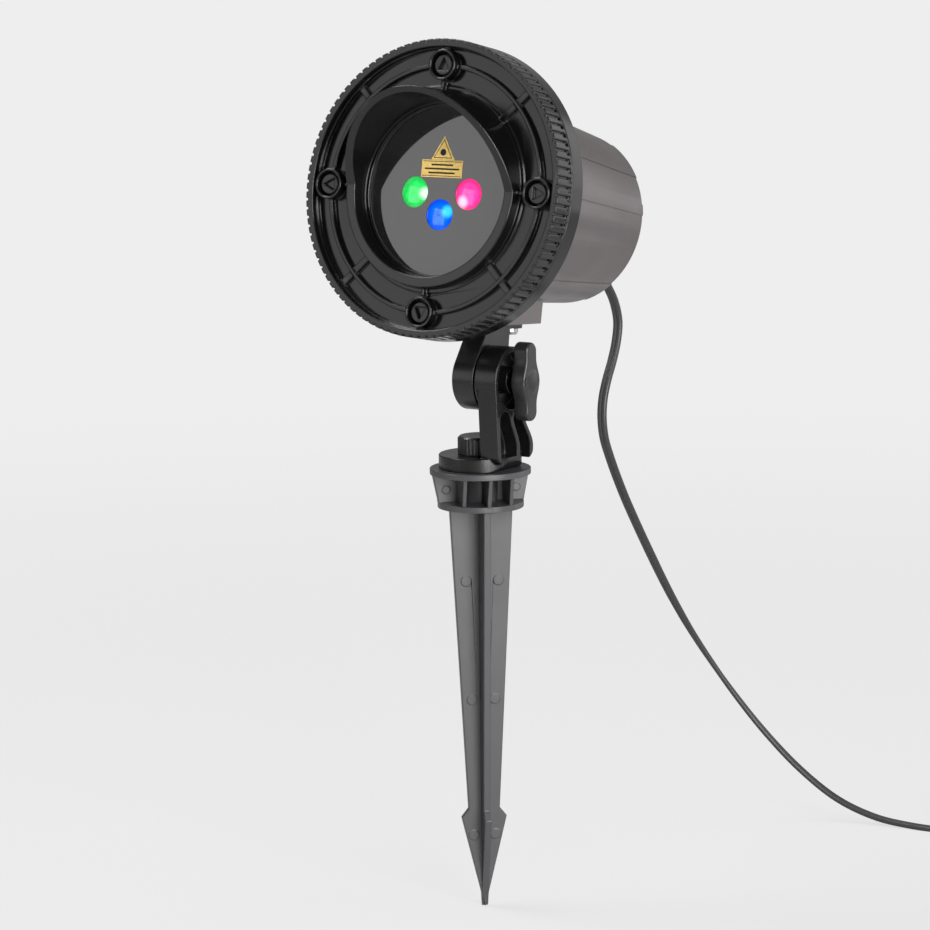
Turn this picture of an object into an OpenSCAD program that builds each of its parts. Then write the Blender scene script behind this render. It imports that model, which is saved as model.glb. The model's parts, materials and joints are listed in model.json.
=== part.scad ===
// Garden laser light projector: a round light head with a visor, a tilting
// bracket with a wing knob, and a four-ribbed ground stake.
// Millimetres. The origin is the tip of the stake, +Z is up, and the light
// head faces -Y. Parts of the head are drawn in the head's own frame, whose
// Z axis runs backwards from the front face, X to the right and Y down.

/* [Stake] */
// Height of the ribbed spike, from its tip to the underside of the collar
spike_h = 184.6; // [170:1:200]
// Width across the spike's ribs just under the collar
spike_top_w = 28.8; // [26:0.2:32]
// Width across the ribs just above the barbs
spike_low_w = 14.2; // [12:0.2:16]
// Width across the barbs
barb_w = 20.6; // [18:0.2:24]
// Height of the barbs above the tip
barb_z = 42; // [38:1:44]
// Thickness of each rib
rib_t = 3.1; // [2.4:0.1:4]
// Diameter of the collar's lower disc
collar_low_d = 38.6; // [36:0.2:41]
// Diameter of the collar's upper disc
collar_top_d = 45.2; // [43:0.2:48]
// Height of the whole collar
collar_h = 17.7; // [16:0.1:20]
// Thickness of each disc of the collar
disc_t = 2.7; // [2.2:0.1:3.4]

/* [Bracket] */
// Height of the tilt axis above the collar
pivot_rise = 40.2; // [38:0.1:44]
// Diameter of the bracket's round foot
foot_d = 37; // [34:0.5:38]
// Thickness of the foot
foot_t = 6.3; // [5:0.1:6.6]
// Distance from the stake's axis to the arm's pivot pad
pad_x = 6.8; // [6.7:0.1:7.4]
// Distance from the stake's axis to the arm's inner face
arm_in_x = 8.4; // [8:0.1:9]
// Distance from the stake's axis to the arm's outer face
arm_out_x = 18.1; // [17.5:0.1:19]
// Diameter of the arm's round head
arm_head_d = 30; // [28:0.5:31]
// Distance from the tilt axis back to the arm's narrow waist
arm_waist_y = 8.6; // [8:0.1:10]
// Distance from the tilt axis back to the arm's flared heel
arm_heel_y = 16; // [14:0.1:17]
// Thickness of the arm's walls
arm_wall = 2.6; // [2.4:0.1:3.4]

/* [Knobs] */
// Length across the two wings of the tilt knob
wing_span = 35; // [30:1:37]
// Width of each wing
wing_w = 8.2; // [7:0.2:10]
// Thickness of the wings
wing_t = 7.6; // [6:0.1:8]
// Turn of the tilt knob's wings from upright, in degrees
knob_turn = 0; // [0:5:175]
// Diameter of the tilt knob's hub
hub_d = 13.6; // [13:0.2:17]
// Diameter of the pan thumbscrew
thumb_d = 20; // [16:0.2:20.4]
// Height of the pan thumbscrew's head
thumb_h = 8; // [7:0.5:9]

/* [Light head] */
// Upward pitch of the head as stored, in degrees
head_pitch = 11.3; // [8:0.1:14]
// Distance from the tilt axis up to the head's axis
axis_rise = 78.3; // [78:0.1:80]
// Distance from the tilt axis forward to the front face
front_reach = 54.3; // [53:0.1:56]
// Diameter of the bezel
bezel_d = 130; // [129:0.5:131]
// Length of the bezel's notched grip
grip_len = 11.5; // [11:0.1:12]
// Number of notches around the grip
notch_n = 102; // [80:1:110]
// Diameter of the circle through the four screw cups
cup_circle_d = 107.4; // [106:0.2:108]
// Outer diameter of each screw cup
cup_d = 13.5; // [12.5:0.1:14]
// Outer diameter of the visor hood at its rim
hood_d = 82.6; // [81:0.2:84]
// Inner diameter of the visor hood
hood_in_d = 77.2; // [76:0.2:78]
// How far the visor stands out at the top
hood_len = 22.5; // [18:0.5:26]
// Length of the head from the front face to the back of the drum
head_len = 118; // [116:0.5:122]
// Diameter of the drum over its raised bands at the back
drum_rear_d = 79.4; // [77:0.2:80]
// Growth of the drum's radius for each millimetre forward
drum_draft = 0.085; // [0.07:0.005:0.09]
// Diameter of the three lenses
lens_d = 13.6; // [12:0.2:14]
// Distance of the outer lenses from the head's axis
lens_reach = 13.9; // [13:0.1:15]

/* [Cord] */
// Width of the flat twin cord
cord_w = 4.8; // [4.4:0.1:5]
// Number of turns in the stored coil
coil_turns = 15; // [12:1:16]
// Number of turns side by side in each layer of the coil
coil_cols = 4; // [3:1:5]

/* [Hidden] */
$fn = 72;
eps = 0.01;

// Stake and bracket heights
collar_z = spike_h + collar_h;
pivot_z = collar_z + pivot_rise;
foot_top_z = collar_z + foot_t;
shoulder_z = barb_z + 4;
fin_t = 1.7;
fin_x = 10.6;
pip_r = 2.35;
pip_h = 0.4;
thumb_gap = 0.15;

// Bracket arm, in heights from the tilt axis, and the knob beside it
arm_waist_z = -15;
arm_base_z = -37;
arm_flare = 16;
arm_front_taper = 2.2;
arm_mid_y = -1.8;
arm_mid_sweep = 5.6;
pocket_top_z = -17.3;
arm_corner_r = 5;
arm_steps = 10;
knob_in_x = arm_out_x + 0.3;
wing_in_x = arm_out_x + 2.1;

// Screws, nuts and their bores: M6 for the pan, M5 for the tilt
pan_r = 3;
tilt_r = 2.5;
run_gap = 0.06;
pan_nut_af = 10;
tilt_nut_af = 8;
nut_t = 4;

// Light head, in the head's frame
bezel_r = bezel_d / 2;
cup_r = cup_d / 2;
cup_ring_r = cup_circle_d / 2;
hood_in_r = hood_in_d / 2;
hood_base_r = hood_d / 2 + 2.2;
lip_t = 2.5;
band_t = 3.4;
slot_w = 1.1;
slot_depth = 0.9;
hook_w = 2.3;
hook_depth = 1.2;
skirt_r = bezel_r - band_t;
skirt_t = 2;
skirt_z = 13.7;
floor_z = 5;
floor_t = 2.5;
bezel_screw_head_h = 1.5;
collar_back_z = 20;
collar_wall = 1.4;
flange_z = 15.9;
flange_back_z = collar_back_z - collar_wall - 0.1;
flange_r = 61.4;
collar_in_r = 48.4;
window_z = 9.6;
window_t = 2;
window_r = 42;
window_hold_r = 42.3;
retainer_t = 1.6;
gasket_t = 0.7;
gasket_in_r = 36.8;
wall = 2.4;
lens_r = lens_d / 2;
lens_drop = 10.5;
lens_rise = 1.1;

// The three lens places, as [x, y down]: green, blue and red
lens_pos = [[-lens_reach, lens_rise], [0, lens_drop], [lens_reach, lens_rise]];
module_r = 6.4;
mount_z = 24;
mount_t = 5;
ledge_z = mount_z + mount_t;
ledge_t = 3;
mount_r = 37;
mount_screw_r = 34.3;
board_y = 24;
board_z = 52;
block_half_w = 12.2;
block_front_z = collar_back_z + 0.1;
block_back_z = 82;
block_front_y = 58;
block_back_y = 51;
lug_half_t = 5.5;
lug_r = 14.2;
lug_screw_z = [34, 75.5];
heel_half_w = 4;
heel_t = 2.6;
gland_y = 20;
gland_len = 20;
gland_r = 5;
gland_tip_r = 3.4;

// The drum's raised lengthwise bands on its right side, in degrees up from level
drum_bands = [[30, 58], [4, 11], [-69, -48]];
band_rise = 0.4;
drum_edge_r = 2.2;

// Cord: a free route down to the floor and out to the coil
cord_r = cord_w / 2;
cord_exit = head_point([0, gland_y, head_len + gland_len]);
cord_second = head_point([0, gland_y, head_len + gland_len + 8]);
lead_route = [
    cord_exit, cord_second, [0, 107, 276], [0, 113, 270], [0, 118, 263], [0, 121, 254],
    [0, 119.5, 245], [0, 115.5, 236], [0, 110.5, 227.5], [0, 107, 219], [0, 106, 210],
    [0, 108, 200], [0, 113.5, 189.5], [0, 120, 179], [0, 127.5, 168], [0, 138, 154],
    [0, 149, 140], [0.5, 160, 125.5], [2, 169.5, 112], [6, 179, 96], [13, 187.5, 79],
    [23, 195, 61], [36, 201.5, 43], [52, 207, 26], [70, 211.5, 12.5], [89, 215, 5],
    [108, 217, 2.6], [127, 218.4, 2.4], [146, 218.8, 2.4]
];
coil_pos = [154, 253, 0];
coil_mid_r = 27;
coil_half_w = coil_cols * cord_w / 2 + 0.2;
coil_row_h = 2.95;
coil_top = ceil(coil_turns / coil_cols) * coil_row_h + 1;
tie_t = 1;
tie_w = 9;
tail_route = [
    [183.8, 235.8, 10.2], [187, 241.5, 9.8], [190, 247.5, 8], [192.2, 254, 5.7], [193.4, 260, 4.9]
];
plug_r = 4.9;
plug_len = 24;
tip_r = 2.75;
tip_root_r = 2.3;
tip_len = 9.5;

// ---------- Frames and shared shapes ----------

// A point given in the head's frame, in the part's own frame
function head_point(p) = [
    p[0],
    (p[2] - front_reach) * cos(head_pitch) + (axis_rise - p[1]) * sin(head_pitch),
    pivot_z - (p[2] - front_reach) * sin(head_pitch) + (axis_rise - p[1]) * cos(head_pitch)
];

module in_head() {
    translate([0, 0, pivot_z])
        rotate([-head_pitch, 0, 0])
            translate([0, -front_reach, axis_rise])
                rotate([-90, 0, 0])
                    children();
}

// Places its children at the four screw cups, with X pointing outwards
module at_cups() {
    for (a = [0, 90, 180, 270])
        rotate([0, 0, a])
            translate([cup_ring_r, 0, 0])
                children();
}

module ring(r_out, r_in, z0, z1) {
    translate([0, 0, z0])
        difference() {
            cylinder(r = r_out, h = z1 - z0);
            translate([0, 0, -1])
                cylinder(r = r_in, h = z1 - z0 + 2);
        }
}

// A radial bar between two radii, on the X side
module radial_bar(r0, r1, w, z0, z1) {
    translate([r0, -w / 2, z0])
        cube([r1 - r0, w, z1 - z0]);
}

module hex(af, h) {
    cylinder(r = af / 2 / cos(30), h = h, $fn = 6);
}

// A pan-head screw along +Z, with its head below z = 0
module pan_screw(r, len, head_r, head_h) {
    difference() {
        union() {
            translate([0, 0, -head_h])
                cylinder(r1 = head_r * 0.8, r2 = head_r, h = head_h * 0.45);
            translate([0, 0, -head_h * 0.55])
                cylinder(r = head_r, h = head_h * 0.55);
            cylinder(r = r, h = len);
        }
        for (a = [0, 90])
            rotate([0, 0, a])
                translate([-head_r * 0.55, -head_r * 0.12, -head_h - 1])
                    cube([head_r * 1.1, head_r * 0.24, head_h * 0.5 + 1]);
    }
}

// Extrudes a side view, drawn as [Y, Z], from x0 to x1
module side_view(x0, x1) {
    translate([x0, 0, 0])
        rotate([90, 0, 90])
            linear_extrude(height = x1 - x0)
                children();
}

// Extrudes a side view of the head, drawn as [Z back, Y down], from x0 to x1
module head_side_view(x0, x1) {
    translate([x1, 0, 0])
        rotate([0, -90, 0])
            linear_extrude(height = x1 - x0)
                children();
}

// ---------- Stake ----------

module rib_plate() {
    translate([0, rib_t / 2, 0])
        rotate([90, 0, 0])
            linear_extrude(height = rib_t)
                polygon([
                    [0, 0], [barb_w / 2, barb_z], [spike_low_w / 2, shoulder_z],
                    [spike_top_w / 2, spike_h + 1], [-spike_top_w / 2, spike_h + 1],
                    [-spike_low_w / 2, shoulder_z], [-barb_w / 2, barb_z]
                ]);
}

// Width of a fin across the collar at a distance from its middle
function fin_half(r, x) = sqrt(r * r - pow(abs(x) + rib_t / 2, 2)) - 0.3;

module collar_fin(x, t) {
    low = fin_half(collar_low_d / 2, x);
    top = fin_half(collar_top_d / 2, x);
    translate([x - t / 2, 0, 0])
        rotate([90, 0, 90])
            linear_extrude(height = t)
                polygon([
                    [-low, spike_h + 1], [low, spike_h + 1],
                    [top, collar_z - 1], [-top, collar_z - 1]
                ]);
}

module ground_stake() {
    color([0.38, 0.375, 0.385])
        difference() {
            union() {
                rotate([0, 0, 45]) {
                    rib_plate();
                    rotate([0, 0, 90])
                        rib_plate();
                    for (x = [-fin_x, 0, fin_x])
                        collar_fin(x, fin_t);
                    rotate([0, 0, 90])
                        collar_fin(0, rib_t);
                    stake_pips();
                }
                translate([0, 0, spike_h])
                    cylinder(d = collar_low_d, h = disc_t);
                translate([0, 0, collar_z - disc_t])
                    cylinder(d = collar_top_d, h = disc_t);
                translate([0, 0, spike_h + disc_t - eps])
                    cylinder(r = 7.4, h = collar_h - 2 * disc_t + 2 * eps);
            }
            translate([0, 0, spike_h + 4])
                cylinder(r = pan_r + 0.2, h = collar_h);
            translate([0, 0, collar_z - disc_t - nut_t])
                hex(pan_nut_af, nut_t + eps);
        }
}

// Small round marks that the mould's ejector pins leave on the ribs
module stake_pips() {
    marks = [[7.4, 151, pip_r], [5.3, 96.6, pip_r], [5, 33.8, pip_r], [16, 193, 1.8]];
    for (m = marks)
        for (side = [-1, 1])
            translate([side * m[0], 0, m[1]])
                rotate([90, 0, 0])
                    cylinder(r = m[2], h = rib_t + 2 * pip_h, center = true);
}

module stake_nut() {
    color([0.7, 0.7, 0.72])
        translate([0, 0, collar_z - disc_t - nut_t])
            difference() {
                hex(pan_nut_af, nut_t);
                translate([0, 0, -1])
                    cylinder(r = pan_r + run_gap, h = nut_t + 2);
            }
}

// ---------- Bracket ----------

// The arm's side outline, for t running from 0 at the waist to 1 at the base
function arm_z(t) = arm_waist_z + (arm_base_z + arm_corner_r - arm_waist_z) * t;
function arm_front_y(z) = -arm_head_d / 2 + arm_front_taper * z / arm_base_z;
function flare_share(z) =
    let (u = max(0, min(1, (arm_waist_z - z) / arm_flare)))
    u * u * (3 - 2 * u);
function arm_back_y(z) = arm_waist_y + (arm_heel_y - arm_waist_y) * flare_share(z);
function mid_wall_y(z) = arm_mid_y + arm_mid_sweep * flare_share(z);

module arm_outline() {
    r = arm_corner_r;
    z = arm_base_z + r;
    front = arm_front_y(z) + r;
    back = arm_back_y(z) - r;
    polygon(concat(
        [[0, 0]],
        [for (i = [0 : arm_steps]) let (h = arm_z(i / arm_steps)) [arm_back_y(h), h]],
        [for (a = [-15 : -15 : -75]) [back + r * cos(a), z + r * sin(a)]],
        [[0, arm_base_z]],
        [for (a = [-105 : -15 : -165]) [front + r * cos(a), z + r * sin(a)]],
        [[arm_front_y(z), z], [arm_front_y(0), 0]]
    ));
    circle(d = arm_head_d);
}

// The two hollows in the arm's outer side, before (-1) and behind (1) its middle wall
module arm_pocket(side) {
    low_z = arm_base_z - 1;
    levels = [for (i = [0 : arm_steps]) low_z + (pocket_top_z - low_z) * i / arm_steps];
    function front_y(z) = side < 0 ? arm_front_y(z) + arm_wall : mid_wall_y(z) + arm_wall / 2;
    function back_y(z) = side < 0 ? mid_wall_y(z) - arm_wall / 2 : arm_back_y(z) - arm_wall;
    arch_r = (back_y(pocket_top_z) - front_y(pocket_top_z)) / 2;
    arch_y = front_y(pocket_top_z) + arch_r;
    polygon(concat(
        [for (z = levels) [front_y(z), z]],
        [for (a = [160 : -20 : 20]) [arch_y + arch_r * cos(a), pocket_top_z + arch_r * sin(a)]],
        [for (i = [arm_steps : -1 : 0]) [back_y(levels[i]), levels[i]]]
    ));
}

// Front view of the bracket, with its rounded outer corner
module bracket_front_view() {
    corner_r = 6.5;
    x = arm_out_x - corner_r;
    polygon(concat(
        [[-foot_d, 0]],
        [for (a = [-90 : 10 : 0]) [x + corner_r * cos(a), corner_r + corner_r * sin(a)]],
        [[arm_out_x, pivot_rise + arm_head_d], [-foot_d, pivot_rise + arm_head_d]]
    ));
}

module tilt_bracket() {
    pocket_floor_x = arm_in_x + 3;
    boss_r = 6;
    color([0.09, 0.09, 0.095])
        difference() {
            intersection() {
                union() {
                    translate([0, 0, pivot_z])
                        difference() {
                            side_view(arm_in_x, arm_out_x)
                                arm_outline();
                            for (side = [-1, 1])
                                side_view(pocket_floor_x, arm_out_x + 1)
                                    arm_pocket(side);
                        }
                    translate([0, 0, pivot_z])
                        side_view(pad_x, arm_in_x + 1)
                            circle(d = arm_head_d);
                    translate([0, 0, collar_z])
                        cylinder(d = foot_d, h = foot_t);
                }
                translate([0, foot_d, collar_z])
                    rotate([90, 0, 0])
                        linear_extrude(height = 2 * foot_d)
                            bracket_front_view();
            }
            translate([0, 0, pivot_z]) {
                side_view(pocket_floor_x, arm_out_x + 1)
                    difference() {
                        circle(r = arm_head_d / 2 - 2.2);
                        circle(r = boss_r);
                    }
                side_view(0, arm_out_x + 1)
                    circle(r = tilt_r + run_gap);
            }
            translate([0, 0, collar_z - 1])
                cylinder(r = pan_r + run_gap, h = foot_t + 2);
            translate([0, 0, foot_top_z])
                cylinder(r = thumb_d / 2 + 0.4, h = thumb_h + 2);
        }
}

module pivot_washer() {
    gap = 0.1;
    color([0.72, 0.72, 0.74])
        translate([0, 0, pivot_z])
            side_view(lug_half_t + gap, pad_x)
                difference() {
                    circle(r = 7);
                    circle(r = tilt_r + run_gap);
                }
}

// ---------- Thumbscrew ----------

module thumb_screw() {
    flutes = 36;
    flute_r = 0.5;
    color([0.08, 0.08, 0.085])
        translate([0, 0, foot_top_z + thumb_gap])
            difference() {
                union() {
                    cylinder(d = thumb_d, h = thumb_h - 1);
                    translate([0, 0, thumb_h - 1])
                        cylinder(d1 = thumb_d, d2 = thumb_d - 2, h = 1);
                }
                for (i = [0 : flutes - 1])
                    rotate([0, 0, 360 * i / flutes])
                        translate([thumb_d / 2 + 0.1, 0, 0.8])
                            cylinder(r = flute_r, h = thumb_h, $fn = 8);
                translate([0, 0, -1])
                    cylinder(r = pan_r, h = thumb_h - 1);
            }
}

module thumb_screw_stud() {
    top = foot_top_z + thumb_gap + thumb_h - 2;
    bottom = spike_h + 4.6;
    color([0.7, 0.7, 0.72])
        translate([0, 0, bottom])
            cylinder(r = pan_r, h = top - bottom);
}

// ---------- Wing knob ----------

// Half width of the knob at a distance from its middle
function knob_half(s) =
    wing_w / 2 + (hub_d - wing_w) / 2 * (1 + cos(180 * min(1, s / (wing_span * 0.3)))) / 2;

module wing_outline() {
    reach = (wing_span - wing_w) / 2;
    steps = 12;
    side = [for (i = [-steps : steps]) reach * i / steps];
    polygon(concat(
        [for (y = side) [knob_half(abs(y)), y]],
        [for (i = [len(side) - 1 : -1 : 0]) [-knob_half(abs(side[i])), side[i]]]
    ));
    for (y = [-reach, reach])
        translate([0, y])
            circle(d = wing_w);
}

module wing_knob() {
    cap_r = hub_d / 2 - 1;
    cap_h = 1.3;
    dome_r = (cap_r * cap_r + cap_h * cap_h) / (2 * cap_h);
    out_x = wing_in_x + wing_t;
    color([0.1, 0.1, 0.105])
        translate([0, 0, pivot_z])
            difference() {
                union() {
                    side_view(wing_in_x, out_x)
                        rotate([0, 0, -knob_turn])
                            wing_outline();
                    side_view(knob_in_x, wing_in_x + 1)
                        circle(r = 6.4);
                    intersection() {
                        translate([out_x - dome_r + cap_h, 0, 0])
                            rotate([0, 90, 0])
                                sphere(r = dome_r);
                        side_view(out_x - 0.2, out_x + cap_h + 1)
                            circle(r = cap_r + 1);
                    }
                }
                side_view(knob_in_x - 1, out_x - 2)
                    circle(r = tilt_r);
            }
}

module wing_knob_stud() {
    color([0.7, 0.7, 0.72])
        translate([0, 0, pivot_z])
            side_view(-lug_half_t + 0.4, wing_in_x + wing_t - 2)
                circle(r = tilt_r);
}

// ---------- Tilt lug under the head ----------

// Depth of the block's slanted underside at a distance behind the front face
function block_y(z) = block_front_y
    + (block_back_y - block_front_y) * (z - collar_back_z) / (block_back_z - collar_back_z);

module lug_side_view() {
    p = [front_reach, axis_rise];
    neck_front = p[0] - 4.5;
    neck_back = p[0] + 13;
    tangent = 28;
    polygon([
        [neck_front, block_y(neck_front)], [neck_back, block_y(neck_back)],
        [p[0] + lug_r, p[1] - 1], [p[0] + lug_r, p[1]], p,
        [p[0] - lug_r * cos(tangent), p[1] - lug_r * sin(tangent)]
    ]);
    translate(p)
        circle(r = lug_r);
}

module heel_side_view() {
    front = lug_screw_z[0] - 4.5;
    back = lug_screw_z[1] + 4.5;
    polygon([
        [front, block_y(front)], [back, block_y(back)],
        [back, block_y(back) + heel_t], [front, block_y(front) + heel_t]
    ]);
}

module head_lug() {
    color([0.07, 0.07, 0.075])
        in_head()
            difference() {
                union() {
                    head_side_view(-lug_half_t, lug_half_t)
                        lug_side_view();
                    head_side_view(-heel_half_w, heel_half_w)
                        heel_side_view();
                }
                translate([0, axis_rise, front_reach])
                    rotate([0, 90, 0]) {
                        cylinder(r = tilt_r + run_gap, h = 4 * lug_half_t, center = true);
                        translate([0, 0, -lug_half_t - eps])
                            hex(tilt_nut_af, nut_t + eps);
                    }
                at_lug_screws()
                    cylinder(r = 1.8, h = 20, center = true);
            }
}

// Places its children under the block's slanted face, with +Z pointing up into it
module at_lug_screws() {
    slant = atan2(block_front_y - block_back_y, block_back_z - collar_back_z);
    for (z = lug_screw_z)
        translate([0, block_y(z), z])
            rotate([90 + slant, 0, 0])
                children();
}

module lug_nut() {
    color([0.7, 0.7, 0.72])
        in_head()
            translate([-lug_half_t, axis_rise, front_reach])
                rotate([0, 90, 0])
                    difference() {
                        hex(tilt_nut_af, nut_t);
                        translate([0, 0, -1])
                            cylinder(r = tilt_r + run_gap, h = nut_t + 2);
                    }
}

module lug_screws() {
    color([0.75, 0.74, 0.73])
        in_head()
            at_lug_screws()
                translate([0, 0, -heel_t])
                    pan_screw(1.8, 11, 3.7, 2.8);
}

// ---------- Rear housing ----------

// The drum between two distances behind the front face, grown by g
module drum(z0, z1, g, edge_r) {
    function drum_r(z) = drum_rear_d / 2 - band_rise + drum_draft * (head_len - z) + g;
    r1 = drum_r(z1) - edge_r;
    rotate_extrude()
        polygon(concat(
            [[0, z0], [drum_r(z0), z0]],
            [for (a = [0 : 22.5 : 90]) [r1 + edge_r * cos(a), z1 - edge_r + edge_r * sin(a)]],
            [[0, z1]]
        ));
}

module drum_band_wedges() {
    big = 2 * bezel_r;
    for (side = [0, 1], b = drum_bands)
        mirror([side, 0, 0])
            translate([0, 0, collar_back_z])
                linear_extrude(height = head_len)
                    polygon([
                        [0, 0], big * [cos(b[0]), -sin(b[0])], big * [cos(b[1]), -sin(b[1])]
                    ]);
}

// Posts on the housing's rim that take the bezel's screws
module housing_screw_posts() {
    at_cups()
        translate([0, 0, grip_len])
            cylinder(r = 5, h = flange_z - grip_len + 1);
}

module rear_housing() {
    color([0.49, 0.455, 0.455])
        in_head()
            difference() {
                union() {
                    ring(flange_r, 44, flange_z, flange_back_z);
                    housing_screw_posts();
                    drum(flange_z, head_len, 0, drum_edge_r);
                    intersection() {
                        drum(flange_z, head_len, band_rise, drum_edge_r);
                        drum_band_wedges();
                    }
                    head_side_view(-block_half_w, block_half_w)
                        polygon([
                            [block_front_z, 36], [block_back_z, 34],
                            [block_back_z, block_back_y], [block_front_z, block_y(block_front_z)]
                        ]);
                }
                difference() {
                    drum(flange_z - 1, head_len - wall, -wall, 1);
                    ring(60, 31.5, ledge_z, ledge_z + ledge_t);
                    for (x = [-16, 16])
                        translate([x, board_y + 1.6, board_z + 28])
                            rotate([-90, 0, 0])
                                cylinder(r = 3, h = 20);
                }
                at_cups()
                    translate([0, 0, grip_len - 1])
                        cylinder(r = 2, h = flange_back_z - grip_len + 0.4);
                at_lug_screws()
                    cylinder(r = 1.8, h = 10);
                mount_screw_places()
                    translate([0, 0, ledge_z - 1])
                        cylinder(r = 1.25, h = 3.2);
                board_screw_places()
                    cylinder(r = 1.25, h = 9);
                translate([0, gland_y, head_len - wall - 1])
                    cylinder(r = 4.2, h = wall + 2);
            }
}

// The trim collar that covers the housing's rim behind the bezel
module rear_collar() {
    color([0.2, 0.2, 0.205])
        in_head()
            difference() {
                ring(bezel_r, collar_in_r, grip_len, collar_back_z);
                translate([0, 0, grip_len - 1])
                    cylinder(r = skirt_r + 0.2, h = collar_back_z - collar_wall - grip_len + 1);
            }
}

module housing_seal() {
    color([0.05, 0.05, 0.05])
        in_head()
            ring(skirt_r, skirt_r - skirt_t, skirt_z, flange_z);
}

// ---------- Front bezel ----------

// One layer of the grip, from z0 to z1. Each notch starts at arc length 0; profile holds
// its [arc length, depth] steps, and all layers share the same outer corners.
module grip_layer(z0, z1, profile) {
    steps = [
        for (i = [0 : notch_n - 1])
            for (p = profile)
                let (a = 360 * i / notch_n + p[0] / bezel_r * 180 / PI, r = bezel_r - p[1])
                    [r * cos(a), r * sin(a)]
    ];
    translate([0, 0, z0])
        linear_extrude(height = z1 - z0)
            difference() {
                polygon(steps);
                circle(r = skirt_r);
            }
}

module grip() {
    hook_z = grip_len - 3.3;
    back_z = grip_len - 1;
    plain = [[0, 0], [slot_w, 0], [hook_w, 0]];
    slotted = [[0, 0], [0, slot_depth], [slot_w, slot_depth], [slot_w, 0], [hook_w, 0]];
    hooked = [[0, 0], [0, hook_depth], [hook_w, hook_depth], [hook_w, 0]];
    grip_layer(0, hook_z, slotted);
    grip_layer(hook_z, back_z, hooked);
    grip_layer(back_z, grip_len, plain);
}

// The hood: a drafted tube that the slanted visor cut leaves long at the top
module hood() {
    slope = atan2(hood_len, hood_d / 2);
    big = 4 * bezel_r;
    intersection() {
        translate([0, 0, -hood_len - 8])
            cylinder(
                r1 = hood_d / 2 - 0.5, r2 = hood_base_r,
                h = hood_len + 8 + floor_z + 1
            );
        union() {
            translate([-big / 2, -big / 2, -1])
                cube([big, big, big / 2]);
            translate([0, 0, -1])
                rotate([slope, 0, 0])
                    translate([-big / 2, -big / 2, 0])
                        cube([big, big / 2, big / 2]);
        }
    }
}

module face_ribs() {
    rib_z = 2.6;
    hood_r = hood_base_r - 1;
    lip_r = bezel_r - band_t + 0.5;
    ring(cup_ring_r + 0.9, cup_ring_r - 0.9, rib_z, floor_z + 1);
    for (a = [45 : 90 : 315])
        rotate([0, 0, a])
            radial_bar(hood_r, lip_r, 3, rib_z + 0.6, floor_z + 1);
    for (a = [0 : 90 : 270])
        rotate([0, 0, a]) {
            radial_bar(hood_r, hood_base_r + 3, 1.3, rib_z - 0.8, floor_z + 1);
            radial_bar(lip_r - 3, lip_r, 1.3, rib_z - 0.8, floor_z + 1);
        }
}

module front_bezel() {
    cup_wall = 1.1;
    color([0.035, 0.035, 0.04])
        in_head()
            difference() {
                union() {
                    grip();
                    ring(bezel_r - band_t + 1, hood_in_r - 2, floor_z, floor_z + floor_t);
                    ring(bezel_r - lip_t, bezel_r - lip_t - 1.6, 3.2, floor_z + 1);
                    ring(skirt_r, skirt_r - skirt_t, floor_z + 1, skirt_z);
                    ring(
                        window_hold_r + 2.6, gasket_in_r - 1,
                        floor_z + 1, window_z + window_t + retainer_t
                    );
                    face_ribs();
                    ring(hood_base_r + 1.6, hood_in_r, floor_z - 0.7, floor_z + 1);
                    hood();
                    at_cups() {
                        cylinder(r = cup_r, h = floor_z + 1);
                        translate([0, 0, floor_z + 1])
                            cylinder(r = 5, h = grip_len - floor_z - 1);
                    }
                }
                translate([0, 0, -hood_len - 10])
                    cylinder(r = hood_in_r, h = hood_len + 10 + window_z - 2);
                translate([0, 0, -1])
                    cylinder(r = gasket_in_r, h = window_z + 5);
                translate([0, 0, window_z - gasket_t])
                    cylinder(r = window_hold_r, h = 8);
                at_cups() {
                    translate([0, 0, -1])
                        cylinder(r = cup_r - cup_wall, h = floor_z + 1);
                    cylinder(r = 2.1, h = grip_len + 1);
                }
            }
}

module bezel_screws() {
    color([0.7, 0.7, 0.72])
        in_head()
            at_cups()
                translate([0, 0, floor_z])
                    pan_screw(2, flange_back_z - floor_z - 0.8, 3.5, bezel_screw_head_h);
}

// Caps over the bezel's screws, each with a small triangular recess pointing outwards
module screw_plugs() {
    plug_r = 4.4;
    mark_tip = 3.3;
    mark_base = -2.4;
    mark_half_w = 2.9;
    plate_back_z = floor_z - bezel_screw_head_h - 0.1;
    color([0.03, 0.03, 0.035])
        in_head()
            at_cups()
                difference() {
                    translate([0, 0, 1.4])
                        cylinder(r = plug_r, h = floor_z - 1.4);
                    translate([0, 0, plate_back_z])
                        cylinder(r = 3.6, h = 4);
                    translate([0, 0, 0.4])
                        linear_extrude(height = plate_back_z - 0.8)
                            polygon([
                                [mark_tip, 0], [mark_base, mark_half_w], [mark_base, -mark_half_w]
                            ]);
                }
}

// ---------- Window, lenses and label ----------

module window() {
    color([0.36, 0.36, 0.38])
        in_head()
            difference() {
                translate([0, 0, window_z])
                    cylinder(r = window_r, h = window_t);
                for (p = lens_pos)
                    translate([p[0], p[1], window_z - 1])
                        cylinder(r = lens_r, h = window_t + 2);
            }
}

module window_gasket() {
    color([0.04, 0.04, 0.04])
        in_head()
            ring(window_r, gasket_in_r, window_z - gasket_t, window_z);
}

module window_retainer() {
    color([0.1, 0.1, 0.1])
        in_head()
            ring(window_hold_r, gasket_in_r, window_z + window_t, window_z + window_t + retainer_t);
}

module foil_sticker() {
    sticker_t = 0.12;
    sticker_x = -0.9;
    color([0.72, 0.56, 0.25])
        in_head()
            translate([0, 0, window_z - sticker_t])
                linear_extrude(height = sticker_t) {
                    translate([sticker_x, 0]) {
                        polygon([[0, -23.8], [6, -13.4], [-6, -13.4]]);
                        translate([-10.5, -13.3])
                            square([21, 7.6]);
                    }
                }
}

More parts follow.
